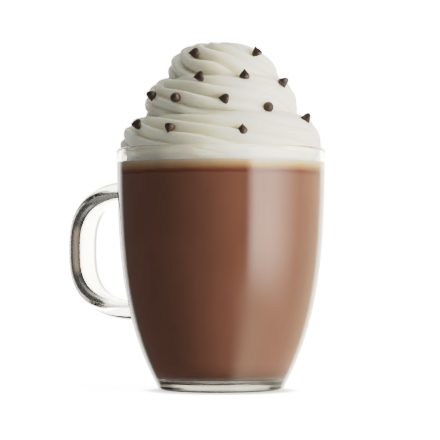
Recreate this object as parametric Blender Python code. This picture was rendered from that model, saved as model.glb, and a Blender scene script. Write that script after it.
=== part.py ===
"""Caffe mocha in its glass mug, one object per sub-part. Metres, +Z up, standing on Z = 0.

The mug's axis is the Z axis and its handle points along -X.
"""

import math

import bpy
import numpy as np

# Glass mug
MUG_H = 0.106            # height to the top of the lip
RIM_R = 0.046            # outer radius at the lip
WALL_LEAN = 0.018        # radius lost per metre below the lip, over the whole height
FOOT_DROP = 0.0171       # further radius lost at the foot
FOOT_POWER = 3.4         # how late and how quickly the wall turns in towards the foot
FOOT_ROUND = 0.0010      # rounding at the edge of the underside
WALL_T = 0.0030          # wall at the lip
WALL_T_LOW = 0.0042      # wall at the height of the cavity's floor
FLOOR_T = 0.0064         # glass under the drink
CAVITY_ROUND = 0.0065    # radius of the cavity's lower corner
LIP_RISE = 0.0014        # height of the rounded lip
LIP_SHOULDER = 0.35      # share of the lip's height below its top where its shoulder lies
LIP_SHOULDER_IN = 0.0004  # how far the shoulder lies inside the wall's faces
MUG_SEGMENTS = 40
WALL_ROWS = 10
CORNER_ROWS = 4

# Handle, a flat oval band bent to a D
HANDLE_W = 0.0164        # width of the band, across the mug
HANDLE_MID_Z = 0.0616
HANDLE_HALF_H = 0.0277   # half the height between the two roots
HANDLE_ROOT_R = 0.0403   # radius at which the band's centre line starts
HANDLE_BURY = 0.0034     # how far each end runs on into the wall
HANDLE_REACH = 0.0374    # from there to the grip's centre line
HANDLE_SQUARE = 2.74     # exponent of the D: 2 is round, more is squarer
HANDLE_T = 0.0080        # thickness at the grip
HANDLE_ROOT_T = 0.0084   # thickness at the roots
HANDLE_ROOT_POWER = 3.7  # how close to the wall the band thickens
HANDLE_OVAL = 2.3        # exponent of the band's section: 2 is an ellipse, more is squarer
HANDLE_STEPS = 24
SECTION_POINTS = 14

# Contents
GAP = 0.0003             # clearance between neighbouring sub-parts
DRINK_TOP_Z = 0.0960
FOAM_TOP_Z = 0.0997
CONTENTS_ROWS = 7
FOAM_ROWS = 3

# Whipped cream, a fluted rope piped clockwise in a rising spiral
TURNS = 4                # turns of the rope, counted from below the foam
TIER_TURN = 1.5          # the turn whose middle lies just above the lip
ROPE_PITCH_R = 0.0108    # how far each turn lies inside the one below
ROPE_PITCH_Z = 0.0183    # how far each turn lies above the one below
ROPE_R1 = 0.0337         # radius of the centre line at TIER_TURN
ROPE_Z1 = 0.1062         # height of the centre line at TIER_TURN
ROPE_A = 0.0107          # half width of the rope
ROPE_B1 = 0.0140         # half height of the rope at TIER_TURN
ROPE_B_LOSS = 0.0012     # half height lost per turn
STEP_AZIMUTH = 125       # degrees; the side where each turn climbs onto the next
STEP_SHARE = 1.55        # how strongly the climb is gathered on that side
CAP_FROM = 2.80          # turn at which the rope starts to close into the cap
CAP_TO = 3.15            # turn at which it has closed
CAP_R = 0.0052           # radius of the centre line in the cap
CAP_Z = 0.1376           # height of the cap's middle
CAP_A = 0.0193           # half width of the rope in the cap
CAP_B = 0.0150           # half height of the rope in the cap
CAP_LEAN = 0.0013        # how far the cap leans to one side
CAP_LEAN_H = 0.0070      # height over the cap's middle at which it leans no more
CAP_LEAN_AZIMUTH = 35    # degrees; the side the cap leans to
CREAM_R_MAX = 0.0443     # the widest the swirl spreads over the lip
CREAM_GAP = 0.0007       # clearance between the cream and the wall inside the glass
FLUTES = 12              # flutes around the nozzle
FLUTE_TWIST = 9 / 12     # turns the flutes make around the rope per turn around the mug
FLUTE_CREST = 0.68       # share of a flute's width below its crest
FLUTE_DEPTH = 0.0029     # depth of a flute
FLUTE_SHARP = 1.3        # exponent of the groove: more is narrower
FLUTE_DEEP_AZIMUTH = -130  # degrees; the side on which the flutes are deepest
FLUTE_EVEN = 0.72        # share of the depth that is the same all round
CREASE = 0.0013          # fillet where two turns meet
CREAM_SEGMENTS = 56
CREAM_FAN_LOW = 18       # rows over the lowest turn
CREAM_RISE = 18          # rows over the middle turns
CREAM_FAN_TOP = 15       # rows over the top
FAN_TILT = 28            # degrees; slope at which the middle rows are cast
FAN_TOP_Z = 0.1340       # height from which the top rows are cast
CAST_STEPS = 90
CAST_REACH = 0.0600
SHARP_ANGLE = 40         # degrees; edges sharper than this are shaded as edges


def clear_scene():
    for obj in list(bpy.data.objects):
        bpy.data.objects.remove(obj, do_unlink=True)


def plain_material(name, colour, roughness, alpha=1.0):
    """A Principled material of one colour."""
    material = bpy.data.materials.new(name)
    material.use_nodes = True
    shader = material.node_tree.nodes["Principled BSDF"]
    shader.inputs["Base Color"].default_value = (*colour, 1.0)
    shader.inputs["Roughness"].default_value = roughness
    shader.inputs["Metallic"].default_value = 0.0
    shader.inputs["Alpha"].default_value = alpha
    return material


def glass_material():
    return plain_material("clear_glass", (0.86, 0.90, 0.88), 0.05, 0.35)


def drink_material():
    return plain_material("mocha", (0.20, 0.10, 0.06), 0.30)


def foam_material():
    return plain_material("foam", (0.62, 0.44, 0.28), 0.60)


def cream_material():
    return plain_material("cream", (0.86, 0.84, 0.76), 0.55)


def new_object(name, points, faces, material):
    """A smooth-shaded mesh object from points and faces."""
    mesh = bpy.data.meshes.new(name)
    mesh.from_pydata([tuple(map(float, p)) for p in points], [], faces)
    mesh.materials.append(material)
    obj = bpy.data.objects.new(name, mesh)
    bpy.context.scene.collection.objects.link(obj)
    mesh.shade_smooth()
    mesh.set_sharp_from_angle(angle=math.radians(SHARP_ANGLE))
    return obj


def ring_faces(rows, segments, split=False):
    """Faces of a stack of rings that starts and ends with a single point on the axis.

    With split, each quad is cut along the diagonal that falls as the azimuth grows.
    """
    faces = []
    last = 1 + rows * segments
    for j in range(segments):
        k = (j + 1) % segments
        faces.append((0, 1 + k, 1 + j))
        top = 1 + (rows - 1) * segments
        faces.append((last, top + j, top + k))
        for i in range(rows - 1):
            low = 1 + i * segments
            high = low + segments
            if split:
                faces.append((low + j, low + k, high + j))
                faces.append((low + k, high + k, high + j))
            else:
                faces.append((low + j, low + k, high + k, high + j))
    return faces


def turned(name, radii, heights, material, segments=MUG_SEGMENTS):
    """A solid turned about Z from a profile that runs upwards, closed on the axis at both ends."""
    angles = np.arange(segments) * 2 * math.pi / segments
    r = np.asarray(radii)[:, None]
    z = np.asarray(heights)[:, None] + 0 * angles
    rings = np.stack([r * np.cos(angles), r * np.sin(angles), z], axis=-1).reshape(-1, 3)
    points = np.vstack([[(0, 0, heights[0])], rings, [(0, 0, heights[-1])]])
    return new_object(name, points, ring_faces(len(radii), segments), material)


def outer_radius(z):
    """Radius of the mug's outside: a slight lean plus a power curve in towards the foot."""
    depth = 1 - np.clip(z / MUG_H, 0, 1)
    return RIM_R - WALL_LEAN * (MUG_H - z) - FOOT_DROP * depth ** FOOT_POWER


def wall_thickness(z):
    return WALL_T + (WALL_T_LOW - WALL_T) * (1 - np.clip(z / MUG_H, 0, 1)) ** 2


def cavity_radius(z):
    """Radius of the mug's inside, with a quarter round at the cavity's floor."""
    r = outer_radius(z) - wall_thickness(z)
    up = np.clip((FLOOR_T + CAVITY_ROUND - z) / CAVITY_ROUND, 0, 1)
    return r - CAVITY_ROUND * (1 - np.sqrt(1 - up ** 2))


def mug_body(material):
    """The mug's outside as a solid, with its foot and lip rounded."""
    heights = np.linspace(FOOT_ROUND, MUG_H - LIP_RISE, WALL_ROWS)
    lip_z = np.array([MUG_H - LIP_RISE * LIP_SHOULDER, MUG_H])
    lip_in = np.array([LIP_SHOULDER_IN, WALL_T / 2])
    z = np.concatenate([[0.0], heights, lip_z])
    r = np.concatenate([
        [outer_radius(FOOT_ROUND) - FOOT_ROUND],
        outer_radius(heights),
        outer_radius(lip_z) - lip_in,
    ])
    return turned("glass_mug", r, z, material)


def cavity_cutter(material):
    """The mug's inside as a solid that runs out over the rounded lip."""
    corner = FLOOR_T + CAVITY_ROUND * (1 - np.cos(np.linspace(0, math.pi / 2, CORNER_ROWS)))
    wall = np.linspace(FLOOR_T + CAVITY_ROUND, MUG_H - LIP_RISE, WALL_ROWS)[1:]
    lip_z = np.array([MUG_H - LIP_RISE * LIP_SHOULDER, MUG_H, MUG_H + LIP_RISE])
    lip_out = np.array([LIP_SHOULDER_IN, WALL_T / 2, WALL_T / 2])
    z = np.concatenate([corner, wall, lip_z])
    r = np.concatenate([cavity_radius(corner), cavity_radius(wall), cavity_radius(lip_z) + lip_out])
    return turned("cavity_cutter", r, z, material)


def handle_line():
    """Centre line of the band in the XZ plane, its unit normals and its thickness, top to bottom."""
    turn = np.linspace(math.pi / 2, -math.pi / 2, HANDLE_STEPS + 1)
    out = np.clip(np.cos(turn), 0, 1) ** (2 / HANDLE_SQUARE)
    up = np.sign(np.sin(turn)) * np.abs(np.sin(turn)) ** (2 / HANDLE_SQUARE)
    r = HANDLE_ROOT_R + HANDLE_REACH * out
    z = HANDLE_MID_Z + HANDLE_HALF_H * up
    dr, dz = np.gradient(r), np.gradient(z)
    length = np.hypot(dr, dz)
    share = np.abs(np.sin(turn)) ** HANDLE_ROOT_POWER
    thick = HANDLE_T + (HANDLE_ROOT_T - HANDLE_T) * share
    r[[0, -1]] -= HANDLE_BURY
    return r, z, -dz / length, dr / length, thick


def handle_section():
    """Outline of the band's section from -1 to 1 each way: a superellipse close to an ellipse."""
    turn = (np.arange(SECTION_POINTS) + 0.5) * 2 * math.pi / SECTION_POINTS
    corner = np.stack([np.cos(turn), np.sin(turn)], axis=-1)
    return np.sign(corner) * np.abs(corner) ** (2 / HANDLE_OVAL)


def handle_band(material):
    """The handle: the oval section swept along the D, its ends buried in the wall."""
    r, z, nr, nz, thick = handle_line()
    section = handle_section()
    off = section[:, 1] * thick[:, None] / 2
    across = section[:, 0] * HANDLE_W / 2 + 0 * off
    x = -(r[:, None] + nr[:, None] * off)
    points = np.stack([x, across, z[:, None] + nz[:, None] * off], axis=-1).reshape(-1, 3)
    count = len(section)
    faces = [tuple(range(count)), tuple(range(len(points) - 1, len(points) - 1 - count, -1))]
    for i in range(len(r) - 1):
        for j in range(count):
            k = (j + 1) % count
            faces.append((i * count + k, i * count + j, (i + 1) * count + j, (i + 1) * count + k))
    return new_object("handle_band", points, faces, material)


def combine(target, other, operation):
    """Join or cut one solid with another and keep the result as the target's mesh."""
    modifier = target.modifiers.new(operation.lower(), "BOOLEAN")
    modifier.operation = operation
    modifier.solver = "EXACT"
    modifier.object = other
    evaluated = target.evaluated_get(bpy.context.evaluated_depsgraph_get())
    mesh = bpy.data.meshes.new_from_object(evaluated)
    target.modifiers.remove(modifier)
    target.data = mesh
    bpy.data.objects.remove(other, do_unlink=True)


def glass_mug():
    material = glass_material()
    body = mug_body(material)
    combine(body, handle_band(material), "UNION")
    combine(body, cavity_cutter(material), "DIFFERENCE")
    return body


def contents_radius(z):
    """Radius of what fills the glass, clear of the wall."""
    return cavity_radius(z) - GAP


def mocha_drink():
    """The drink, from the cavity's floor to its level."""
    corner = GAP + FLOOR_T + CAVITY_ROUND * (1 - np.cos(np.linspace(0, math.pi / 2, CORNER_ROWS)))
    wall = np.linspace(GAP + FLOOR_T + CAVITY_ROUND, DRINK_TOP_Z, CONTENTS_ROWS)[1:]
    z = np.concatenate([corner, wall])
    return turned("mocha_drink", contents_radius(z - GAP * (z < wall[0])), z, drink_material())


def milk_foam():
    """The tinted layer between the drink and the cream."""
    z = np.linspace(DRINK_TOP_Z + GAP, FOAM_TOP_Z, FOAM_ROWS)
    return turned("milk_foam", contents_radius(z), z, foam_material())


def smooth(share):
    """Eases a share in and out between 0 and 1."""
    share = np.clip(share, 0, 1)
    return share * share * (3 - 2 * share)


def rope_turn(turn):
    """Radius and height of the rope's centre line, and its half width and height, at a turn.

    The last turn closes into the cap: its section swells and its centre line nears the axis.
    """
    above = turn - TIER_TURN
    cap = smooth((turn - CAP_FROM) / (CAP_TO - CAP_FROM))
    rho = ROPE_R1 - ROPE_PITCH_R * above
    zeta = ROPE_Z1 + ROPE_PITCH_Z * above
    half_h = ROPE_B1 - ROPE_B_LOSS * above
    rho += (CAP_R - rho) * cap
    zeta += (CAP_Z - zeta) * cap
    return rho, zeta, ROPE_A + (CAP_A - ROPE_A) * cap, half_h + (CAP_B - half_h) * cap


def flute_groove(azimuth, around):
    """Depth of the flutes at an angle around the rope's section.

    A flute is a 1 - sin groove, with a steep ledge below its crest and a long slope above.
    """
    flute = np.mod(FLUTES * (around + FLUTE_TWIST * azimuth) / (2 * math.pi), 1)
    flute = np.interp(flute, (0, FLUTE_CREST, 1), (0, 0.5, 1))
    side = np.cos(azimuth - math.radians(FLUTE_DEEP_AZIMUTH))
    depth = FLUTE_DEPTH * (FLUTE_EVEN + (1 - FLUTE_EVEN) * side)
    return depth * (1 - np.sin(math.pi * flute)) ** FLUTE_SHARP


def blend(a, b):
    """Smooth minimum of two signed distances, with a small fillet."""
    share = np.clip(0.5 + (b - a) / (2 * CREASE), 0, 1)
    return b + (a - b) * share - CREASE * share * (1 - share)


def cream_distance(azimuth, r, z):
    """Signed distance, negative inside, to the fluted rope's turns and the cream they surround."""
    lap = np.mod(math.radians(STEP_AZIMUTH) - azimuth, 2 * math.pi) / (2 * math.pi)
    climb = lap + STEP_SHARE / (2 * math.pi) * np.sin(2 * math.pi * lap)
    inner = ROPE_R1 - ROPE_PITCH_R * (z - ROPE_Z1) / ROPE_PITCH_Z
    found = np.maximum(r - inner, z - CAP_Z)
    lean = CAP_LEAN * np.cos(azimuth - math.radians(CAP_LEAN_AZIMUTH)) * (1 - (z - CAP_Z) / CAP_LEAN_H)
    for k in range(TURNS):
        rho, zeta, half_w, half_h = rope_turn(k + climb)
        aside = lean if k == TURNS - 1 else 0
        u = (r - rho - aside) / half_w
        v = (z - zeta) / half_h
        distance = (np.hypot(u, v) - 1) * np.minimum(half_w, half_h)
        found = blend(found, distance + flute_groove(azimuth, np.arctan2(v, u)))
    return found


def cream_limit(z):
    """Largest radius the cream may have: clear of the wall in the glass, a little over the lip above."""
    inside = cavity_radius(np.minimum(z, MUG_H - LIP_RISE)) - CREAM_GAP
    return np.where(z < MUG_H + GAP, inside, CREAM_R_MAX)


def cast(azimuth, start_z, tilt):
    """Distance along a ray from the axis to the cream's outermost surface."""
    reach = np.linspace(0, CAST_REACH, CAST_STEPS)[:, None]
    r = reach * math.cos(tilt)
    z = start_z + reach * math.sin(tilt)
    solid = np.maximum(cream_distance(azimuth, r, z), r - cream_limit(z))
    inside = solid < 0
    last = CAST_STEPS - 1 - np.argmax(inside[::-1], axis=0)
    column = np.arange(len(azimuth))
    low = solid[last, column]
    high = solid[np.minimum(last + 1, CAST_STEPS - 1), column]
    step = CAST_REACH / (CAST_STEPS - 1)
    return reach[last, 0] + step * low / (low - high)


def whipped_cream():
    """The swirl: rows of points cast outwards from the axis onto the rope's outer surface."""
    base_z = FOAM_TOP_Z + GAP
    tilt = math.radians(FAN_TILT)
    start_z = MUG_H + 2 * GAP
    rays = [(z, 0.0) for z in (base_z, MUG_H - LIP_RISE, MUG_H + GAP / 2)]
    rays += [(start_z, t) for t in np.linspace(0, tilt, CREAM_FAN_LOW)]
    rays += [(z, tilt) for z in np.linspace(start_z, FAN_TOP_Z, CREAM_RISE)[1:]]
    rays += [(FAN_TOP_Z, t) for t in np.linspace(tilt, math.pi / 2, CREAM_FAN_TOP)[1:-1]]
    azimuth = np.arange(CREAM_SEGMENTS) * 2 * math.pi / CREAM_SEGMENTS
    rings = []
    for z, slope in rays:
        reach = cast(azimuth, z, slope)
        r = reach * math.cos(slope)
        height = z + reach * math.sin(slope)
        rings.append(np.stack([r * np.cos(azimuth), r * np.sin(azimuth), height], axis=-1))
    top = FAN_TOP_Z + float(cast(azimuth[:1], FAN_TOP_Z, math.pi / 2)[0])
    points = np.vstack([[(0, 0, base_z)], np.concatenate(rings), [(0, 0, top)]])
    faces = ring_faces(len(rays), CREAM_SEGMENTS, split=True)
    return new_object("whipped_cream", points, faces, cream_material())


clear_scene()
glass_mug()
mocha_drink()
milk_foam()
whipped_cream()
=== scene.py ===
"""Caffe mocha in a clear glass mug: drink, foam, piped whipped cream and chocolate chips."""

import math

import bpy
import numpy as np
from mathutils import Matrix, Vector
from mathutils.bvhtree import BVHTree


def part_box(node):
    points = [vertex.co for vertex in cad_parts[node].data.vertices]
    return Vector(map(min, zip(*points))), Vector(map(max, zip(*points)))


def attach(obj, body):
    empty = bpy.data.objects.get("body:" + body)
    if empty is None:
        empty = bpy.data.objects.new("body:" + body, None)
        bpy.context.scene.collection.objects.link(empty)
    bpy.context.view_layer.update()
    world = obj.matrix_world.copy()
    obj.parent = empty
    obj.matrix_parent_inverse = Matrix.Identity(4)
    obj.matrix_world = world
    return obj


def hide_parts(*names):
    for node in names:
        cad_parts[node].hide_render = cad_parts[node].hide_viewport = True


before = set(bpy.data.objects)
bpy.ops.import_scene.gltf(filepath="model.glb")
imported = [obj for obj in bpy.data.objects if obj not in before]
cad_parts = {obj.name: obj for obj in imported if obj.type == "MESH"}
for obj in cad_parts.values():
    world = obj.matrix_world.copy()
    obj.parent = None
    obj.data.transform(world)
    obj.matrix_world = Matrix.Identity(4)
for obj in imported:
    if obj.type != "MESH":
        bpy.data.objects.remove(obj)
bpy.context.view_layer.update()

# ---------------------------------------------------------------------------------------------
# Glass mug. Clear pressed glass, turned inside and out, with a round lip and a thick floor.
# The D handle is a flat band fused to the wall, so mug and handle are one body of glass.
# ---------------------------------------------------------------------------------------------

# The mug: its top and rim, how much the wall leans in per metre down, how far and how sharply the
# foot draws in, the wall's thickness at the top and at the bottom, the floor's, and the roundings.
MUG_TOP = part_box("glass_mug")[1][2]
RIM_R = 0.046
WALL_LEAN = 0.018
FOOT_DROP = 0.0171
FOOT_POWER = 3.4
WALL_T = 0.0030
WALL_T_LOW = 0.0042
FLOOR_T = 0.0064
CAVITY_ROUND = 0.0065
LIP_RISE = 0.0014
FOOT_ROUND = 0.0016

# Rings of points up the foot and the outside, over the lip, down the inside and across the floor.
FOOT_ROWS = 8
OUT_ROWS = 56
LIP_ROWS = 15
IN_ROWS = 50
FLOOR_ROWS = 10
MUG_ROUND = 224

# Edges that turn by more than these angles stay sharp.
SHARP = math.radians(60)
GLASS_SHARP = math.radians(55)


def outer_radius(z):
    """Outside of the mug: a slight lean from the lip, less a power curve in towards the foot."""
    depth = 1 - np.clip(z / MUG_TOP, 0, 1)
    return RIM_R - WALL_LEAN * (MUG_TOP - z) - FOOT_DROP * depth ** FOOT_POWER


def cavity_radius(z):
    """Inside of the mug: the outside less a wall that thickens downwards, round at the floor."""
    wall = WALL_T + (WALL_T_LOW - WALL_T) * (1 - np.clip(z / MUG_TOP, 0, 1)) ** 2
    up = np.clip((FLOOR_T + CAVITY_ROUND - z) / CAVITY_ROUND, 0, 1)
    return outer_radius(z) - wall - CAVITY_ROUND * (1 - np.sqrt(1 - up ** 2))


def lip_outline(turn):
    """Half an ellipse over the lip: turn 0 is its outer end, pi its inner end."""
    low = MUG_TOP - LIP_RISE
    middle = (outer_radius(low) + cavity_radius(low)) / 2
    half = (outer_radius(low) - cavity_radius(low)) / 2
    return middle + half * np.cos(turn), low + LIP_RISE * np.sin(turn)


def spun(radii, heights, count=MUG_ROUND):
    """Rings of points, one for each pair of a radius and a height, spun about Z."""
    angle = np.arange(count) * 2 * np.pi / count
    r = np.asarray(radii)[:, None]
    z = np.asarray(heights)[:, None] + 0 * angle
    return np.stack([r * np.cos(angle), r * np.sin(angle), z], axis=-1)


def skin_of(rings):
    """Points and faces of a stack of rings, with a single point on the axis at either end."""
    rows, count = rings.shape[:2]
    ends = rings[[0, -1]].mean(axis=1)
    points = np.vstack([rings.reshape(-1, 3), ends])
    j = np.arange(count)
    k = (j + 1) % count
    i = np.arange(rows - 1)[:, None] * count
    quads = np.stack([i + j, i + k, i + count + k, i + count + j], axis=-1).reshape(-1, 4)
    first = np.stack([np.full(count, rows * count), k, j], axis=-1)
    top = (rows - 1) * count
    last = np.stack([np.full(count, rows * count + 1), top + j, top + k], axis=-1)
    return points, quads.tolist() + first.tolist() + last.tolist()


def shown(name, mesh, sharp):
    """A smooth-shaded object that shows a mesh."""
    mesh.shade_smooth()
    mesh.set_sharp_from_angle(angle=sharp)
    obj = bpy.data.objects.new(name, mesh)
    bpy.context.scene.collection.objects.link(obj)
    return obj


def piece(name, points, faces, sharp=SHARP):
    """An object from points and faces."""
    mesh = bpy.data.meshes.new(name)
    mesh.from_pydata(points.tolist(), [], faces)
    return shown(name, mesh, sharp)


def mug_body():
    """Turned outline: up the outside, over the lip, down the inside and across the floor."""
    foot_turn = np.linspace(-np.pi / 2, 0, FOOT_ROWS)
    foot_r = outer_radius(FOOT_ROUND) - FOOT_ROUND * (1 - np.cos(foot_turn))
    foot_z = FOOT_ROUND * (1 + np.sin(foot_turn))
    out_z = np.linspace(FOOT_ROUND, MUG_TOP - LIP_RISE, OUT_ROWS)[1:-1]
    lip_r, lip_z = lip_outline(np.linspace(0, np.pi, LIP_ROWS))
    wall_z = np.linspace(MUG_TOP - LIP_RISE, FLOOR_T + CAVITY_ROUND, IN_ROWS)[1:]
    floor_turn = np.linspace(0, np.pi / 2, FLOOR_ROWS)[1:]
    in_z = np.concatenate([wall_z, FLOOR_T + CAVITY_ROUND * (1 - np.sin(floor_turn))])
    r = np.concatenate([foot_r, outer_radius(out_z), lip_r, cavity_radius(in_z)])
    z = np.concatenate([foot_z, out_z, lip_z, in_z])
    return piece("glass_mug_body", *skin_of(spun(r, z)))


# The path of the handle: its middle height, half height, the radius it starts from, how far it
# reaches out from there, and how square it is, from 2 for an ellipse upwards.
HANDLE_MID_Z = 0.0616
HANDLE_HALF_H = 0.0277
HANDLE_ROOT_R = 0.0403
HANDLE_REACH = 0.0374
HANDLE_SQUARE = 2.74

# Its band: width, thickness at mid height and at the roots, how late it thickens towards them,
# and how square its outline is; then the fillet at the wall and how deep the band runs into it.
HANDLE_W = 0.0164
HANDLE_T = 0.0080
HANDLE_ROOT_T = 0.0084
HANDLE_ROOT_POWER = 3.7
HANDLE_OVAL = 2.3
ROOT_FILLET = 0.0024
ROOT_DEPTH = 0.0014

# Points round the band, steps along its path, rings, and how much the rings are drawn together.
HANDLE_SIDES = 40
HANDLE_FINE = 1201
HANDLE_ROWS = 161
ROW_CROWD = 0.1


def handle_section():
    """Outline of the band, from -1 to 1 each way: a superellipse, between oval and rectangle."""
    turn = (np.arange(HANDLE_SIDES) + 0.5) * 2 * np.pi / HANDLE_SIDES
    corner = np.stack([np.cos(turn), np.sin(turn)], axis=-1)
    return np.sign(corner) * np.abs(corner) ** (2 / HANDLE_OVAL)


def handle():
    """The band's outline carried along half a superellipse, flaring where it meets the wall.

    Its rings are spaced by the length of that path, a little closer at its ends and its middle.
    """
    turn = np.linspace(np.pi / 2, -np.pi / 2, HANDLE_FINE)
    out = np.clip(np.cos(turn), 0, 1) ** (2 / HANDLE_SQUARE)
    up = np.sign(np.sin(turn)) * np.abs(np.sin(turn)) ** (2 / HANDLE_SQUARE)
    r = HANDLE_ROOT_R + HANDLE_REACH * out
    z = HANDLE_MID_Z + HANDLE_HALF_H * up
    swell = np.abs(np.sin(turn)) ** HANDLE_ROOT_POWER
    thick = HANDLE_T + (HANDLE_ROOT_T - HANDLE_T) * swell
    proud = r - outer_radius(z)
    keep = proud > -ROOT_DEPTH
    r, z, thick, proud = r[keep], z[keep], thick[keep], proud[keep]
    along = np.concatenate([[0], np.cumsum(np.hypot(np.diff(r), np.diff(z)))])
    step = np.linspace(0, 1, HANDLE_ROWS)
    even = along[-1] * (step - ROW_CROWD * np.sin(4 * np.pi * step) / (2 * np.pi))
    r, z, thick, proud = (np.interp(even, along, v) for v in (r, z, thick, proud))
    dr, dz = np.gradient(r), np.gradient(z)
    length = np.hypot(dr, dz)
    near = np.clip(1 - proud / ROOT_FILLET, 0, 1)
    flare = ROOT_FILLET * (1 - np.sqrt(1 - near ** 2))
    outline = handle_section()
    thickness = outline[:, 1] * (thick / 2 + flare)[:, None]
    x = -(r[:, None] - dz[:, None] / length[:, None] * thickness)
    y = outline[:, 0] * (HANDLE_W / 2 + flare)[:, None]
    height = z[:, None] + dr[:, None] / length[:, None] * thickness
    rings = np.stack([x, y, height], axis=-1)
    return piece("glass_mug_handle", *skin_of(rings))


def point_outwards(obj):
    """Turns a closed mesh right side out if its signed volume is negative."""
    mesh = obj.data
    mesh.calc_loop_triangles()
    points = np.empty(len(mesh.vertices) * 3)
    mesh.vertices.foreach_get("co", points)
    points = points.reshape(-1, 3)
    corners = np.empty(len(mesh.loop_triangles) * 3, dtype=int)
    mesh.loop_triangles.foreach_get("vertices", corners)
    a, b, c = (points[corners[n::3]] for n in range(3))
    if np.einsum("ij,ij->", a, np.cross(b, c)) < 0:
        mesh.flip_normals()


def fused(target, other, name):
    """One body of glass: the exact union of two closed pieces."""
    point_outwards(target)
    point_outwards(other)
    union = target.modifiers.new("fuse", "BOOLEAN")
    union.operation = "UNION"
    union.solver = "EXACT"
    union.object = other
    graph = bpy.context.evaluated_depsgraph_get()
    mesh = bpy.data.meshes.new_from_object(target.evaluated_get(graph))
    mesh.name = name
    for old in (target, other):
        bpy.data.objects.remove(old, do_unlink=True)
    return shown(name, mesh, GLASS_SHARP)


class Value:
    """A shader socket whose operators add Math nodes."""

    def __init__(self, finish, socket):
        self.finish = finish
        self.socket = socket

    def math(self, operation, *values):
        """A Math node that does that to these values."""
        settings = {"operation": operation}
        return self.finish.node("ShaderNodeMath", settings, dict(enumerate(values)))

    def __add__(self, other):
        return self.math("ADD", self, other)

    def __sub__(self, other):
        return self.math("SUBTRACT", self, other)

    def __rsub__(self, other):
        return self.math("SUBTRACT", other, self)

    def __mul__(self, other):
        return self.math("MULTIPLY", self, other)

    def __truediv__(self, other):
        return self.math("DIVIDE", self, other)

    def __rtruediv__(self, other):
        return self.math("DIVIDE", other, self)

    __radd__ = __add__
    __rmul__ = __mul__

    def between(self, low, high):
        """0 at low, 1 at high, eased in and out."""
        settings = {"interpolation_type": "SMOOTHSTEP"}
        values = {"Value": self, "From Min": low, "From Max": high}
        return self.finish.node("ShaderNodeMapRange", settings, values)


class Finish:
    """The nodes of a material or a world, joined by values."""

    def __init__(self, owner):
        owner.use_nodes = True
        self.owner = owner
        self.tree = owner.node_tree
        self.shader = self.tree.nodes.get("Principled BSDF") or self.tree.nodes["Background"]

    def join(self, value, socket):
        """Links a value to a socket, or sets a plain number, colour or vector on it."""
        if isinstance(value, Value):
            self.tree.links.new(value.socket, socket)
        elif socket.type == "RGBA":
            socket.default_value = (*value, 1.0)
        else:
            socket.default_value = value

    def node(self, kind, settings, values, out=0):
        """Adds a node, sets it up, joins its inputs and returns one of its outputs."""
        made = self.tree.nodes.new(kind)
        for key, setting in settings.items():
            if key != "stops":
                setattr(made, key, setting)
                continue
            elements = made.color_ramp.elements
            while len(elements) < len(setting):
                elements.new(1.0)
            for element, (place, colour) in zip(elements, setting):
                element.position = place
                element.color = (*colour, 1.0)
        for key, value in values.items():
            self.join(value, made.inputs[key])
        return Value(self, made.outputs[out])

    def set(self, **values):
        """Joins inputs of the shader, each under its own name in small letters."""
        for key, value in values.items():
            socket = key.replace("_", " ").title().replace("Ior", "IOR")
            self.join(value, self.shader.inputs[socket])

    def output(self, shader, socket="Surface"):
        """Puts a shader other than the Principled one on the surface, or in the volume."""
        self.join(shader, self.tree.nodes["Material Output"].inputs[socket])

    def place(self):
        """Object coordinates, in metres."""
        return self.node("ShaderNodeTexCoord", {}, {}, out="Object")

    def part_along(self, way, vector):
        """How far a vector goes along a direction."""
        settings = {"operation": "DOT_PRODUCT"}
        return self.node("ShaderNodeVectorMath", settings, {0: vector, 1: tuple(way)}, "Value")

    def level(self):
        """Height above the table, in metres."""
        return self.part_along((0, 0, 1), self.place())

    def noise(self, scale, detail=2.0, stretch=(1, 1, 1)):
        """Noise of that many grains a metre, from 0 to 1."""
        place = self.node("ShaderNodeMapping", {}, {"Vector": self.place(), "Scale": stretch})
        values = {"Vector": place, "Scale": scale, "Detail": detail}
        return self.node("ShaderNodeTexNoise", {}, values)

    def mix(self, share, one, other, blend="MIX"):
        """Colour that goes from one to the other, or to a blend of both."""
        settings = {"data_type": "RGBA", "blend_type": blend}
        return self.node("ShaderNodeMix", settings, {0: share, 6: one, 7: other}, out=2)

    def ramp(self, share, stops):
        """Colour that runs through stops, each a place from 0 to 1 with its colour."""
        return self.node("ShaderNodeValToRGB", {"stops": stops}, {"Fac": share})

    def scaled(self, vector, by):
        """A colour or vector, made that many times as long."""
        return self.node("ShaderNodeVectorMath", {"operation": "SCALE"}, {0: vector, "Scale": by})

    def sum(self, one, other):
        """Two colours or vectors added up."""
        return self.node("ShaderNodeVectorMath", {"operation": "ADD"}, {0: one, 1: other})

    def bump(self, height, distance):
        """Relief of that depth, in metres."""
        return self.node("ShaderNodeBump", {}, {"Height": height, "Distance": distance})

    def light_path(self, question):
        """What the Light Path node says about the ray."""
        return self.node("ShaderNodeLightPath", {}, {}, out=question)


PLAIN = (1.0, 1.0, 1.0)
GLASS_IOR = 1.5
GLASS_COLOUR = (0.765, 0.755, 0.738)
GLASS_DENSITY = 100.0
GLASS_SHADOW = (0.97, 0.98, 0.97)
GLASS_RELIEF = 0.00003

# The foot: where it is ground and how rough, and the shade painted into its glass below:
# where that fades out and how dark it is.
FOOT_GROUND = (0.0001, FOOT_ROUND)
FOOT_ROUGH = 0.3
FOOT_SHADE_FADES = (0.0002, 0.0046)
FOOT_PAINTED_SHADE = (0.045, 0.045, 0.042)


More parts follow.
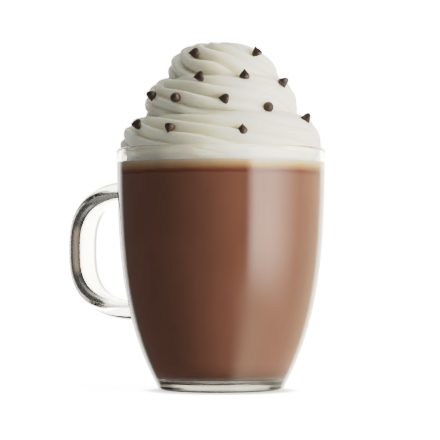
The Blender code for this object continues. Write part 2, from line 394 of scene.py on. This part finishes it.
def glass_finish():
    """Clear glass with faint waves, ground and with painted shade at the foot; it casts next to no
    shadow.
    """
    finish = Finish(bpy.data.materials.new("clear_glass"))
    waves = finish.noise(70, 1.0) * 0.75 + finish.noise(240, 1.0) * 0.25
    level = finish.level()
    ground = 1 - level.between(*FOOT_GROUND)
    # Painted shade: the glass is tinted darker towards the foot.
    foot_shade = finish.mix(level.between(*FOOT_SHADE_FADES), FOOT_PAINTED_SHADE, PLAIN)
    finish.set(base_color=foot_shade, roughness=ground * FOOT_ROUGH)
    finish.set(ior=GLASS_IOR, transmission_weight=1.0, normal=finish.bump(waves, GLASS_RELIEF))
    glass = Value(finish, finish.shader.outputs[0])
    clear = finish.node("ShaderNodeBsdfTransparent", {}, {"Color": GLASS_SHADOW})
    shadow = finish.light_path("Is Shadow Ray")
    finish.output(finish.node("ShaderNodeMixShader", {}, {0: shadow, 1: glass, 2: clear}))
    depth = {"Color": GLASS_COLOUR, "Density": GLASS_DENSITY}
    finish.output(finish.node("ShaderNodeVolumeAbsorption", {}, depth), "Volume")
    return finish.owner


mug = fused(mug_body(), handle(), "glass_mug_clear")
mug.data.materials.append(glass_finish())
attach(mug, "root")
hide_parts("glass_mug")

# ---------------------------------------------------------------------------------------------
# The drink. Coffee with chocolate and milk, opaque, filling the cavity up to its level.
# It reaches just into the glass, so that it wets the wall without a film of air.
# ---------------------------------------------------------------------------------------------
WET = 0.00015
DRINK_TOP = 0.0960
DRINK_FLOOR_ROWS = 16
DRINK_WALL_ROWS = 60


def drink():
    """Turned outline of the cavity, grown into the glass by WET, cut off level."""
    turn = np.linspace(0, np.pi / 2, DRINK_FLOOR_ROWS)
    floor_z = FLOOR_T + CAVITY_ROUND * (1 - np.cos(turn))
    wall_z = np.linspace(FLOOR_T + CAVITY_ROUND, DRINK_TOP, DRINK_WALL_ROWS)[1:]
    z = np.concatenate([floor_z, wall_z])
    sunk = WET * (z < wall_z[0])
    return piece("mocha_drink_full", *skin_of(spun(cavity_radius(z) + WET, z - sunk)))


DRINK_IOR = 1.345
DRINK_ROUGH = 0.5


def against_glass(finish, colour):
    """A wet surface seen through glass, which turns into a mirror past total reflection."""
    mirror = finish.node("ShaderNodeFresnel", {}, {"IOR": DRINK_IOR / GLASS_IOR})
    finish.set(base_color=finish.mix(mirror, colour, PLAIN), metallic=mirror)
    finish.set(roughness=(1 - mirror) * DRINK_ROUGH, specular_ior_level=0.0)


DRINK_COLOUR = (0.167, 0.068, 0.042)
DRINK_PALE = (0.190, 0.077, 0.049)
CLOUD_RELIEF = 0.0001

# Tints over the drink's colour in the depth of its uppermost layer, from the bottom up.
LAYER_DEPTH = 0.0022
LAYER_RAGGED = 0.0007
LAYER_TINTS = (
    (0.0, PLAIN),
    (0.35, (0.70, 0.52, 0.48)),
    (0.55, (0.70, 0.52, 0.48)),
    (0.80, (1.12, 0.90, 0.86)),
)


def drink_finish():
    """Milky brown with faint clouds; under the foam a thin dark line and a redder layer over it."""
    finish = Finish(bpy.data.materials.new("mocha"))
    clouds = finish.noise(45, 3.0, (1, 1, 0.6)).between(0.3, 0.7)
    body = finish.mix(clouds, DRINK_COLOUR, DRINK_PALE)
    ragged = (finish.noise(110, 2.0, (1, 1, 0.3)) - 0.5) * LAYER_RAGGED
    layer = (finish.level() + ragged - (DRINK_TOP - LAYER_DEPTH)) / LAYER_DEPTH
    against_glass(finish, finish.mix(1.0, body, finish.ramp(layer, LAYER_TINTS), "MULTIPLY"))
    finish.set(normal=finish.bump(clouds, CLOUD_RELIEF))
    return finish.owner


mocha = drink()
mocha.data.materials.append(drink_finish())
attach(mocha, "root")
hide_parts("mocha_drink")

# ---------------------------------------------------------------------------------------------
# The foam. A thin layer of fine bubbles where the cream melts into the drink.
# It shades from the cream's colour at its top to brown at the drink.
# ---------------------------------------------------------------------------------------------
FOAM_TOP = 0.0997
FOAM_ROWS = 14


def foam():
    """Turned outline of a flat disc between the drink and the cream, grown into the wall by WET."""
    z = np.linspace(DRINK_TOP, FOAM_TOP, FOAM_ROWS)
    return piece("milk_foam_band", *skin_of(spun(cavity_radius(z) + WET, z)))


FOAM_RAGGED = 0.0010
FOAM_COLOURS = (
    (0.0, (0.205, 0.079, 0.042)),
    (0.15, (0.250, 0.106, 0.050)),
    (0.35, (0.377, 0.208, 0.115)),
    (0.62, (0.470, 0.320, 0.195)),
    (1.0, (0.640, 0.545, 0.410)),
)
BUBBLES = 1400.0
BUBBLE_COLOUR = (0.46, 0.31, 0.17)
BUBBLE_SHARE = 0.2
BUBBLE_RELIEF = 0.0001


def foam_finish():
    """Brown that pales upwards through tan to cream, its edges uneven, with fine bubbles."""
    finish = Finish(bpy.data.materials.new("foam"))
    ragged = (finish.noise(120, 3.0, (1, 1, 0.5)) - 0.5) * FOAM_RAGGED
    height = (finish.level() + ragged - DRINK_TOP) / (FOAM_TOP - DRINK_TOP)
    bubbles = finish.node("ShaderNodeTexVoronoi", {}, {"Vector": finish.place(), "Scale": BUBBLES})
    between = bubbles.between(0.0, 0.5) * BUBBLE_SHARE
    against_glass(finish, finish.mix(between, finish.ramp(height, FOAM_COLOURS), BUBBLE_COLOUR))
    finish.set(normal=finish.bump(bubbles, BUBBLE_RELIEF))
    return finish.owner


froth = foam()
froth.data.materials.append(foam_finish())
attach(froth, "root")
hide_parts("milk_foam")

# ---------------------------------------------------------------------------------------------
# The whipped cream. One fluted rope from a star nozzle, piped clockwise in a rising spiral.
# Each turn sits on the one below; the lowest spreads against the glass and over the lip.
# ---------------------------------------------------------------------------------------------
CAMERA_AZIMUTH = math.radians(35)

# The rope: its turns, the radius and height of its centre line at TIER_TURN, how much each turn
# lies further in and higher up, its half width, and its half height with its loss per turn.
TURNS = 4
TIER_TURN = 1.5
ROPE_R = 0.0337
ROPE_Z = 0.1062
ROPE_PITCH_R = 0.0108
ROPE_PITCH_Z = 0.0183
ROPE_HALF_W = 0.0107
ROPE_HALF_H = 0.0140
ROPE_LOSS_H = 0.0012

# Where each turn climbs onto the next, and how much of the climb is gathered there.
STEP_AZIMUTH = math.radians(125)
STEP_SHARE = 1.55

# The cap: the turns over which it closes, the centre, half width and half height of its section,
# how far it lies to the camera's right at CAP_Z, and how much further up that is down to nothing.
CAP_FROM = 2.80
CAP_TO = 3.15
CAP_R = 0.0052
CAP_Z = 0.1376
CAP_HALF_W = 0.0193
CAP_HALF_H = 0.0150
CAP_LEAN = 0.0013
CAP_LEAN_H = 0.0070

# The flutes: their number, how far they turn round the rope in a lap, where their crest lies
# between two grooves, the grooves' depth, sharpness and unevenness round the swirl, and the fillet
# where two turns meet.
FLUTES = 12
FLUTE_TWIST = 9 / 12
FLUTE_CREST = 0.68
FLUTE_DEPTH = 0.0029
GROOVE_POWER = 1.3
DEEPEST_AZIMUTH = math.radians(-130)
DEPTH_SWING = 0.28
DEPTH_WANDER = 0.4
PLACE_WANDER = 0.22
CREASE = 0.0013

# The cream in the glass: it touches the wall at the foam, then stands off it by CREAM_GAP and
# slanting folds up to GAP_TOP, where it nearly closes again. Over the lip it stays in CREAM_R_MAX.
CREAM_R_MAX = 0.0443
CREAM_GAP = 0.0007
GAP_OPENS_H = 0.0014
GAP_TOP = 0.1024
GAP_CLOSES_H = 0.0012
GAP_CLOSES = 0.85
FOLD_DEPTH = 0.0011
FOLDS = 8
FOLD_RISE = 93

# The rays that find the surface: points round a ring and along a ray, the reach of a ray, and
# how many rings are cast in the glass, over the lip, up the swirl and over its top.
CREAM_ROUND = 376
CAST_STEPS = 100
CAST_REACH = 0.0600
FAN_TILT = math.radians(28)
FAN_TOP_Z = 0.1340
RAY_OFF = 0.0001
GLASS_RINGS = 34
LIP_RINGS = 82
SWIRL_RINGS = 82
TOP_RINGS = 64


def eased(share):
    """From 0 to 1 with a soft start and end: 3 s squared less 2 s cubed."""
    share = np.clip(share, 0, 1)
    return share * share * (3 - 2 * share)


def rope_turn(turn):
    """Radius and height of the rope's centre line, and its half width and height, at a turn.

    The last turn closes into the cap: its section swells and its centre line nears the axis.
    """
    above = turn - TIER_TURN
    cap = eased((turn - CAP_FROM) / (CAP_TO - CAP_FROM))
    rho = ROPE_R - ROPE_PITCH_R * above
    zeta = ROPE_Z + ROPE_PITCH_Z * above
    half_h = ROPE_HALF_H - ROPE_LOSS_H * above
    rho, zeta = rho + (CAP_R - rho) * cap, zeta + (CAP_Z - zeta) * cap
    half_w = ROPE_HALF_W + (CAP_HALF_W - ROPE_HALF_W) * cap
    return rho, zeta, half_w, half_h + (CAP_HALF_H - half_h) * cap


def unevenness(azimuth, z):
    """Slow wander of the hand: a few sines round the axis and up it, between about -1 and 1."""
    return (
        0.5 * np.sin(3 * azimuth + 90 * z + 0.6)
        + 0.3 * np.sin(5 * azimuth - 210 * z + 2.1)
        + 0.2 * np.sin(8 * azimuth + 380 * z + 4.0)
    )


def cream_distance(azimuth, r, z):
    """Signed distance to the rope's turns and the core inside them, blended by a small fillet.

    A turn's section is an ellipse in the plane through the axis. Its flutes are 1 - sin grooves, a
    steep ledge below each and a long slope above, which slant down as they go round to the right.
    """
    lap = np.mod(STEP_AZIMUTH - azimuth, 2 * np.pi) / (2 * np.pi)
    climb = lap + STEP_SHARE / (2 * np.pi) * np.sin(2 * np.pi * lap)
    wander = unevenness(azimuth, z)
    side = 1 - DEPTH_SWING + DEPTH_SWING * np.cos(azimuth - DEEPEST_AZIMUTH)
    depth = FLUTE_DEPTH * (1 + DEPTH_WANDER * wander) * side
    inner = ROPE_R - ROPE_PITCH_R * (z - ROPE_Z) / ROPE_PITCH_Z
    found = np.maximum(r - inner, z - CAP_Z)
    lean = CAP_LEAN * np.cos(azimuth - CAMERA_AZIMUTH) * (1 - (z - CAP_Z) / CAP_LEAN_H)
    for k in range(TURNS):
        rho, zeta, half_w, half_h = rope_turn(k + climb)
        u = (r - rho - (lean if k == TURNS - 1 else 0)) / half_w
        v = (z - zeta) / half_h
        around = (np.arctan2(v, u) + FLUTE_TWIST * azimuth) / (2 * np.pi)
        flute = np.mod(FLUTES * around + PLACE_WANDER * wander, 1)
        flute = np.interp(flute, (0, FLUTE_CREST, 1), (0, 0.5, 1))
        groove = (1 - np.sin(np.pi * flute)) ** GROOVE_POWER
        distance = (np.hypot(u, v) - 1) * np.minimum(half_w, half_h) + depth * groove
        share = np.clip(0.5 + (distance - found) / (2 * CREASE), 0, 1)
        found = distance + (found - distance) * share - CREASE * share * (1 - share)
    return found


def cream_limit(azimuth, z):
    """Largest radius of the cream: the wall's above the foam, then less a gap with slanting folds.

    A fold's depth is a sine of the azimuth and the height, uneven by two more sines.
    """
    closed = np.clip((z - GAP_TOP) / GAP_CLOSES_H, 0, 1) * GAP_CLOSES
    off = eased((z - FOAM_TOP) / GAP_OPENS_H) * (1 - closed)
    turn = FOLDS * (azimuth + FOLD_RISE * z)
    fold = 0.5 + 0.3 * np.sin(turn + 0.8 * np.sin(3 * azimuth))
    fold = fold + 0.2 * np.sin(1.6 * turn + 5 * azimuth)
    wall = cavity_radius(np.minimum(z, MUG_TOP - LIP_RISE))
    inside = wall + WET - off * (CREAM_GAP + WET + FOLD_DEPTH * fold)
    return np.where(z < MUG_TOP, inside, CREAM_R_MAX)


def cast(azimuth, start_z, tilt):
    """Distance along rays from the axis, at one height and slope, to the outermost surface."""
    reach = np.linspace(0, CAST_REACH, CAST_STEPS)[:, None]
    r = reach * math.cos(tilt)
    z = start_z + reach * math.sin(tilt)
    solid = np.maximum(cream_distance(azimuth, r, z), r - cream_limit(azimuth, z))
    last = CAST_STEPS - 1 - np.argmax((solid < 0)[::-1], axis=0)
    column = np.arange(len(azimuth))
    low = solid[last, column]
    high = solid[np.minimum(last + 1, CAST_STEPS - 1), column]
    return reach[last, 0] + CAST_REACH / (CAST_STEPS - 1) * low / (low - high)


def cream():
    """Rings of points cast onto the swirl: level in the glass, then fanning up to the top."""
    lip_z = MUG_TOP + 2 * RAY_OFF
    rays = [(z, 0.0) for z in np.linspace(FOAM_TOP, MUG_TOP - RAY_OFF, GLASS_RINGS)]
    rays += [(lip_z, tilt) for tilt in np.linspace(0, FAN_TILT, LIP_RINGS)]
    rays += [(z, FAN_TILT) for z in np.linspace(lip_z, FAN_TOP_Z, SWIRL_RINGS)[1:]]
    rays += [(FAN_TOP_Z, tilt) for tilt in np.linspace(FAN_TILT, np.pi / 2, TOP_RINGS)[1:-1]]
    azimuth = np.arange(CREAM_ROUND) * 2 * np.pi / CREAM_ROUND
    rings = np.empty((len(rays), CREAM_ROUND, 3))
    for row, (z, tilt) in enumerate(rays):
        reach = cast(azimuth, z, tilt)
        r = reach * math.cos(tilt)
        height = z + reach * math.sin(tilt)
        rings[row] = np.stack([r * np.cos(azimuth), r * np.sin(azimuth), height], axis=-1)
    return piece("whipped_cream_swirl", *skin_of(rings))


CREAM_COLOUR = (0.81, 0.80, 0.70)
CREAM_PATCH = (0.79, 0.79, 0.70)
# Painted light: cream pressed on the glass is paler than the rest, its smears a little less pale.
PRESSED_PAINTED_LIGHT = (0.98, 0.94, 0.82)
PRESSED_SMEAR = (0.86, 0.82, 0.70)
PRESSED_BELOW = (MUG_TOP - 0.002, MUG_TOP + 0.001)
CREAM_ROUGH = 0.55
CREAM_RELIEF = 0.00015
SCATTER_RADIUS = (1.0, 0.8, 0.55)
SCATTER_SCALE = 0.012


def cream_finish():
    """Soft white that scatters light, with faint patches and a fine grain; smeared on the glass,
    and paler there by painted light.
    """
    finish = Finish(bpy.data.materials.new("cream"))
    patches = finish.noise(60, 2.0).between(0.35, 0.65)
    free = finish.level().between(*PRESSED_BELOW)
    smears = finish.noise(130, 3.0, (1, 1, 5)).between(0.35, 0.7)
    colour = finish.mix(patches, CREAM_COLOUR, CREAM_PATCH)
    # Painted light: paler cream where it is pressed on the glass, streaked by smears.
    colour = finish.mix(1 - free, colour, finish.mix(smears, PRESSED_PAINTED_LIGHT, PRESSED_SMEAR))
    grain = finish.noise(900, 3.0) * 0.6 + finish.noise(260, 2.0) * 0.4
    finish.set(base_color=colour, roughness=CREAM_ROUGH, specular_ior_level=0.3)
    finish.set(subsurface_weight=0.8, subsurface_scale=SCATTER_SCALE)
    finish.set(subsurface_radius=SCATTER_RADIUS, normal=finish.bump(grain, CREAM_RELIEF))
    return finish.owner


swirl = cream()
swirl.data.materials.append(cream_finish())
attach(swirl, "root")
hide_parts("whipped_cream")

# ---------------------------------------------------------------------------------------------
# The camera, the studio and the table. A long lens at half the mug's height, soft light whose
# strength goes by its direction, and a pale level table with a shadow painted round the foot.
# ---------------------------------------------------------------------------------------------
CAMERA_DISTANCE = 0.970
CAMERA_Z = 0.057
SENSOR_WIDTH = 36

# The camera's frame: its width, the lens in pixels, and the pixels of the horizon and the axis.
FRAME = 440
FOCUS_PIXELS = 2200
HORIZON_Y = 260
AXIS_X = 221

right = Vector((math.cos(CAMERA_AZIMUTH), math.sin(CAMERA_AZIMUTH), 0))
back = Vector((math.sin(CAMERA_AZIMUTH), -math.cos(CAMERA_AZIMUTH), 0))
camera_place = back * CAMERA_DISTANCE + Vector((0, 0, CAMERA_Z))
aim = (
    Vector((0, 0, CAMERA_Z + (HORIZON_Y - FRAME / 2) * CAMERA_DISTANCE / FOCUS_PIXELS))
    - right * (AXIS_X - FRAME / 2) * CAMERA_DISTANCE / FOCUS_PIXELS
)
camera = bpy.data.objects.new("camera", bpy.data.cameras.new("camera"))
camera.data.sensor_width = SENSOR_WIDTH
camera.data.lens = SENSOR_WIDTH * FOCUS_PIXELS / FRAME
camera.location = camera_place
camera.rotation_euler = (aim - camera_place).to_track_quat("-Z", "Y").to_euler()
bpy.context.scene.collection.objects.link(camera)
bpy.context.scene.camera = camera

# Each pair below is where something starts and where it is complete, by direction: an angle round
# from the camera to its right, or the share of a direction that goes up, down, ahead, to the front
# or to the right. Leftward is the share ahead less the share to the right.

# What shiny surfaces mirror: a tall window at the right, its glow on the table, more light at the
# side, and the card behind the mug.
WINDOW_EDGE = (math.radians(25.5), math.radians(40))
WINDOW_FADE = (math.radians(52), math.radians(99))
WINDOW_LOW = (-0.42, -0.08)
WINDOW_HIGH = (0.15, 0.50)
WINDOW_LIGHT = 8.5
WINDOW_COLOUR = (1.0, 0.99, 0.93)
GLOW_EDGE = (math.radians(10), math.radians(46))
GLOW_LIGHT = 2.6
GLOW_COLOUR = (1.0, 0.97, 0.74)
SIDE_EDGE = (math.radians(60), math.radians(95))
SIDE_LIGHT = 1.6
CARD_EDGE = (0.74, 0.91)
CARD_MIRRORED = 2.4
DIM_MIRRORED = 0.12

# What lights matt surfaces: a warmer lamp beside the window, a soft light overhead, some light off
# the table and a little from the far left.
LAMP_EDGE = (math.radians(38), math.radians(60))
LAMP_FADE = (math.radians(72), math.radians(100))
LAMP_LIGHT = 18.2
LAMP_GLOW = 0.8
LAMP_COLOUR = (1.0, 0.91, 0.80)
TOP_EDGE = (0.72, 0.97)
TOP_LIGHT = 1.4
BOUNCE_EDGE = (0.0, 0.5)
BOUNCE_LIGHT = 0.30
FAR_LEFT = (0.85, 1.25)
FAR_LEFT_DOWN = (0.1, 0.5)
FAR_LEFT_LIGHT = 2.0
DIM_MATT = 0.20

# What shows through the glass: the card, the backdrop round it, the table, the roof at the left,
# the front of the room, and a warm glow at the level of the mug, to the right of the card.
CARD_THROUGH = 3.6
BACKDROP_EDGE = (0.34, 0.44)
BACKDROP_DOWN = (0.72, 0.88)
BACKDROP_THROUGH = 1.1
TABLE_EDGE = (0.80, 0.95)
TABLE_THROUGH = 0.32
ROOF_EDGE = (0.28, 0.50)
ROOF_LEFT = (0.15, 0.45)
ROOF_THROUGH = 4.0
FRONT_EDGE = (0.2, 0.5)
FRONT_THROUGH = 2.2
WARM_ACROSS = (0.50, 0.80)
WARM_AHEAD = (0.16, 0.42)
WARM_LEVEL = (0.01, 0.12)
WARM_THROUGH = 0.62
WARM_COLOUR = (1.0, 0.78, 0.58)
DIM_THROUGH = 0.08

ROOM_COLOUR = (1.0, 0.99, 0.93)
WHITE = 4.0


def surroundings():
    """The studio as a world: how bright it is each way, for rays that mirror, light or pass glass.

    A ray that goes on from a matt surface into glass counts as lighting it. The camera itself sees
    plain white.
    """
    finish = Finish(bpy.data.worlds.new("studio"))
    bpy.context.scene.world = finish.owner
    seen = finish.light_path("Is Camera Ray")
    spread = finish.light_path("Diffuse Depth").between(0, 1)
    through = finish.light_path("Is Transmission Ray")
    mirrored = finish.light_path("Is Glossy Ray") * (1 - through)
    matt = 1 - mirrored - through
    out = through * (1 - spread)

    way = finish.node("ShaderNodeTexCoord", {}, {}, out="Generated")
    ahead = finish.part_along(-back, way)
    across = finish.part_along(right, way)
    height = finish.part_along((0, 0, 1), way)
    front = 0 - ahead
    down = 0 - height
    leftward = ahead - across
    azimuth = across.math("ARCTAN2", across, front)

    above = height.between(*WINDOW_LOW)
    under = 1 - height.between(*WINDOW_HIGH)
    fade = 1 - azimuth.between(*WINDOW_FADE)
    card = ahead.between(*CARD_EDGE)
    window = azimuth.between(*WINDOW_EDGE) * fade * above * under * WINDOW_LIGHT
    glow = azimuth.between(*GLOW_EDGE) * fade * (1 - above) * GLOW_LIGHT
    glow = glow + azimuth.between(*SIDE_EDGE) * under * SIDE_LIGHT

    lamp = azimuth.between(*LAMP_EDGE) * (1 - azimuth.between(*LAMP_FADE))
    lamp = lamp * (above * under * LAMP_LIGHT + (1 - above) * LAMP_GLOW)
    around = height.between(*TOP_EDGE) * TOP_LIGHT + DIM_MATT
    around = around + down.between(*BOUNCE_EDGE) * BOUNCE_LIGHT
    around = around + leftward.between(*FAR_LEFT) * down.between(*FAR_LEFT_DOWN) * FAR_LEFT_LIGHT

    beyond = card * CARD_THROUGH + DIM_THROUGH
    backdrop = ahead.between(*BACKDROP_EDGE) * (1 - down.between(*BACKDROP_DOWN))
    beyond = beyond + backdrop * BACKDROP_THROUGH
    beyond = beyond + down.between(*TABLE_EDGE) * TABLE_THROUGH
    beyond = beyond + height.between(*ROOF_EDGE) * leftward.between(*ROOF_LEFT) * ROOF_THROUGH
    beyond = beyond + front.between(*FRONT_EDGE) * FRONT_THROUGH
    level = 1 - (height * height).between(*WARM_LEVEL)
    warm = across.between(*WARM_ACROSS) * ahead.between(*WARM_AHEAD) * level * WARM_THROUGH

    room = mirrored * (card * CARD_MIRRORED + DIM_MIRRORED)
    room = room + (matt + through * spread) * around + out * beyond
    light = finish.scaled(ROOM_COLOUR, room)
    light = finish.sum(light, finish.scaled(WINDOW_COLOUR, mirrored * window))
    light = finish.sum(light, finish.scaled(GLOW_COLOUR, mirrored * glow))
    light = finish.sum(light, finish.scaled(LAMP_COLOUR, matt * lamp))
    light = finish.sum(light, finish.scaled(WARM_COLOUR, out * warm))
    white = finish.scaled(PLAIN, seen * WHITE)
    finish.set(color=finish.sum(white, finish.scaled(light, 1 - seen)), strength=1.0)


surroundings()

# How bright light prints, from none to WHITE: in step with it at first, then ever more slowly.
PRINT = (
    (0.10, 0.10),
    (0.20, 0.20),
    (0.35, 0.34),
    (0.55, 0.49),
    (0.79, 0.62),
    (1.17, 0.70),
    (1.63, 0.76),
    (2.20, 0.82),
    (3.00, 0.92),
)


def printing():
    """The print's tone: a soft shoulder, so that white cream and bright glass keep their shape."""
    view = bpy.context.scene.view_settings
    view.view_transform = "Standard"
    view.use_curve_mapping = True
    tone = view.curve_mapping
    tone.white_level = (WHITE, WHITE, WHITE)
    for light, printed in PRINT:
        tone.curves[3].points.new(light / WHITE, printed)
    tone.update()


printing()

TABLE_HALF = 3.0
TABLE_Z = -0.0001
TABLE_LIGHT = 0.87 * WHITE
TABLE_COLOUR = (0.90, 0.90, 0.90)
# Shadow painted round the foot: its colour, its centre a little towards the camera, its fade.
SHADE_COLOUR = (0.20, 0.20, 0.20)
SHADE_AT = back * 0.006
SHADE_EDGE = (0.025, 0.037)


def table_finish():
    """Pale table with a shadow painted round the foot: white to the eye, absent for every other
    ray.
    """
    finish = Finish(bpy.data.materials.new("pale_table"))
    finish.owner.cycles.emission_sampling = "NONE"
    ends = {0: finish.place(), 1: tuple(SHADE_AT)}
    away = finish.node("ShaderNodeVectorMath", {"operation": "DISTANCE"}, ends, out="Value")
    # Painted shadow: the table's glow is darker near the foot.
    shade = finish.mix(away.between(*SHADE_EDGE), SHADE_COLOUR, PLAIN)
    glow = finish.node("ShaderNodeEmission", {}, {"Color": shade, "Strength": TABLE_LIGHT})
    matt = finish.node("ShaderNodeBsdfDiffuse", {}, {"Color": TABLE_COLOUR})
    pale = finish.node("ShaderNodeAddShader", {}, {0: glow, 1: matt})
    clear = finish.node("ShaderNodeBsdfTransparent", {}, {"Color": PLAIN})
    seen = finish.light_path("Is Camera Ray")
    finish.output(finish.node("ShaderNodeMixShader", {}, {0: seen, 1: clear, 2: pale}))
    return finish.owner


corners = np.array([(-1, -1, 0), (1, -1, 0), (1, 1, 0), (-1, 1, 0)]) * TABLE_HALF + (0, 0, TABLE_Z)
table = piece("pale_table", corners, [(0, 1, 2, 3)])
table.data.materials.append(table_finish())

# Light that is caught in the thick glass of the floor and the handle is followed all the way out.
bpy.context.scene.cycles.max_bounces = 20
bpy.context.scene.cycles.glossy_bounces = 16
bpy.context.scene.cycles.transmission_bounces = 16

# ---------------------------------------------------------------------------------------------
# The chocolate chips. Small dark drops of chocolate with a flat base and a drawn-up tip, dropped
# on the cream so that each lies as it fell, sunk a little way in.
# ---------------------------------------------------------------------------------------------
CHIP_R = 0.0023
CHIP_H = 0.0043
CHIP_BASE_ROUND = 0.34 * CHIP_R
CHIP_TIP_R = 0.00012
CHIP_DRAWN = 0.66
CHIP_SIDES = 20
CHIP_BASE_ROWS = 7
CHIP_SIDE_ROWS = 16
CHIP_SHARP = math.radians(70)

# A chip's middle, and how far it stays above the cream when the chip lies and when it stands.
CHIP_MIDDLE = 0.40 * CHIP_H
CHIP_LYING = 0.55 * CHIP_R
CHIP_STANDING = 0.22 * CHIP_H


def chip_shape():
    """Rings of a chip that stands on Z = 0: a round-edged base, then a side drawn in to a tip.

    The side's radius is a power of half a cosine wave, from 1 at the base to 0 at the tip.
    """
    turn = np.linspace(-np.pi / 2, 0, CHIP_BASE_ROWS)
    base_r = CHIP_R - CHIP_BASE_ROUND * (1 - np.cos(turn))
    base_z = CHIP_BASE_ROUND * (1 + np.sin(turn))
    up = np.linspace(0, 1, CHIP_SIDE_ROWS)[1:]
    side_r = CHIP_R * (0.5 + 0.5 * np.cos(np.pi * up)) ** CHIP_DRAWN + CHIP_TIP_R * up
    side_z = CHIP_BASE_ROUND + (CHIP_H - CHIP_BASE_ROUND) * up
    return spun(np.concatenate([base_r, side_r]), np.concatenate([base_z, side_z]), CHIP_SIDES)


def chip_centre(tip, seat, normal):
    """Where the middle of a chip rests: above the seat, less when it stands than when it lies."""
    up = abs(tip.dot(normal))
    return seat + normal * (CHIP_LYING * math.sqrt(1 - up * up) + CHIP_STANDING * up)


def chip_turned(shape, centre, tip):
    """The chip's rings with its tip that way and its middle there."""
    side = tip.orthogonal().normalized()
    axes = np.array([side, tip.cross(side), tip])
    return (shape - (0, 0, CHIP_MIDDLE)) @ axes + np.array(centre)


# The chips that face the camera: the pixel in its frame where each one's middle shows, which way
# the tip points there, in degrees counterclockwise from the right, and how far the tip leans
# towards the camera, 0 to 1.
CHIPS_IN_VIEW = (
    (193.0, 53.0, 180, 0.25),
    (255.5, 51.5, 106, 0.10),
    (198.0, 76.5, 187, 0.20),
    (243.5, 74.5, 90, 0.10),
    (282.5, 82.5, -81, 0.15),
    (152.5, 94.0, -88, 0.20),
    (174.5, 96.5, 90, 0.90),
    (223.0, 98.5, 172, 0.30),
    (267.5, 106.5, 60, 0.97),
    (305.0, 118.0, 175, 0.10),
    (135.5, 124.0, 178, 0.15),
    (168.5, 128.0, -104, 0.25),
    (241.5, 129.0, 90, 0.45),
)

# How often a chip is aimed, how much of a miss is put right each time, and how far out along a
# ray that misses the cream the nearest cream is sought.
AIM_TRIES = 4
AIM_SHARE = 0.8
NEAREST_FROM = CAMERA_DISTANCE - 0.01


def chips_in_view(tree, shape):
    """Chips placed by sight: a ray through the pixel finds the seat, then the aim is corrected."""
    forward = (aim - camera_place).normalized()
    upward = right.cross(forward).normalized()
    for x, y, angle, lean in CHIPS_IN_VIEW:
        flat = right * math.cos(math.radians(angle)) + upward * math.sin(math.radians(angle))
        tip = (flat * math.sqrt(1 - lean * lean) + back * lean).normalized()
        target = Vector(((x - FRAME / 2) / FOCUS_PIXELS, (FRAME / 2 - y) / FOCUS_PIXELS))
        sight = target.copy()
        for _ in range(AIM_TRIES):
            ray = (forward + right * sight.x + upward * sight.y).normalized()
            seat, normal, _, _ = tree.ray_cast(camera_place, ray)
            if seat is None:
                seat, normal, _, _ = tree.find_nearest(camera_place + ray * NEAREST_FROM)
            centre = chip_centre(tip, seat, normal)
            away = centre - camera_place
            sighted = Vector((away.dot(right), away.dot(upward))) / away.dot(forward)
            sight += (target - sighted) * AIM_SHARE
        yield chip_turned(shape, centre, tip)


# The chips behind: their number, the azimuths they are spread over, in degrees, how much they
# stray from those, in radians, and the heights, each a golden section further up than the last.
CHIPS_BEHIND = 15
SCATTER_SEED = 7
BEHIND_FROM = 62
BEHIND_SPAN = 128
BEHIND_STRAY = 0.05
BEHIND_Z = 0.112
BEHIND_RISE = 0.036
GOLDEN = 0.618

# How far from the axis a chip comes in, how far its tip is laid over along the cream, and how far
# at most it is then raised.
DROP_FROM_R = 0.1
TIP_FLATTENED = 0.7
TIP_RAISED = 0.9


def chips_behind(tree, shape):
    """Chips dropped on the side away from the camera, evenly spread, their tips at random."""
    rng = np.random.default_rng(SCATTER_SEED)
    for n in range(CHIPS_BEHIND):
        azimuth = math.radians(BEHIND_FROM + (n + 0.5) / CHIPS_BEHIND * BEHIND_SPAN)
        azimuth += rng.uniform(-BEHIND_STRAY, BEHIND_STRAY)
        z = BEHIND_Z + BEHIND_RISE * ((n * GOLDEN) % 1)
        way = Vector((math.cos(azimuth), math.sin(azimuth), 0))
        seat, normal, _, _ = tree.ray_cast(way * DROP_FROM_R + Vector((0, 0, z)), -way)
        lie = Vector(rng.normal(size=3))
        flattened = lie - normal * lie.dot(normal) * TIP_FLATTENED
        tip = (flattened + normal * rng.uniform(0, TIP_RAISED)).normalized()
        yield chip_turned(shape, chip_centre(tip, seat, normal), tip)


def chips():
    """Every chip, joined in one mesh."""
    tree = BVHTree.FromObject(swirl, bpy.context.evaluated_depsgraph_get())
    shape = chip_shape()
    points, faces, start = [], [], 0
    for rings in (*chips_in_view(tree, shape), *chips_behind(tree, shape)):
        chip_points, chip_faces = skin_of(rings)
        points.append(chip_points)
        faces += [tuple(int(n) + start for n in face) for face in chip_faces]
        start += len(chip_points)
    return piece("chocolate_chips", np.vstack(points), faces, CHIP_SHARP)


CHOCOLATE = (0.034, 0.017, 0.012)
CHOCOLATE_BLOOM = (0.070, 0.040, 0.030)
CHIP_ROUGH = 0.38
BLOOM_ROUGH = 0.15
CHIP_RELIEF = 0.0001


def chip_finish():
    """Dark chocolate: near-black brown, slightly paler where rubbed, with a soft uneven shine."""
    finish = Finish(bpy.data.materials.new("chocolate"))
    bloom = finish.noise(700, 3.0).between(0.4, 0.7)
    colour = finish.mix(bloom, CHOCOLATE, CHOCOLATE_BLOOM)
    finish.set(base_color=colour, roughness=CHIP_ROUGH + bloom * BLOOM_ROUGH)
    finish.set(normal=finish.bump(finish.noise(1500, 2.0), CHIP_RELIEF))
    return finish.owner


drops = chips()
drops.data.materials.append(chip_finish())
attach(drops, "root")
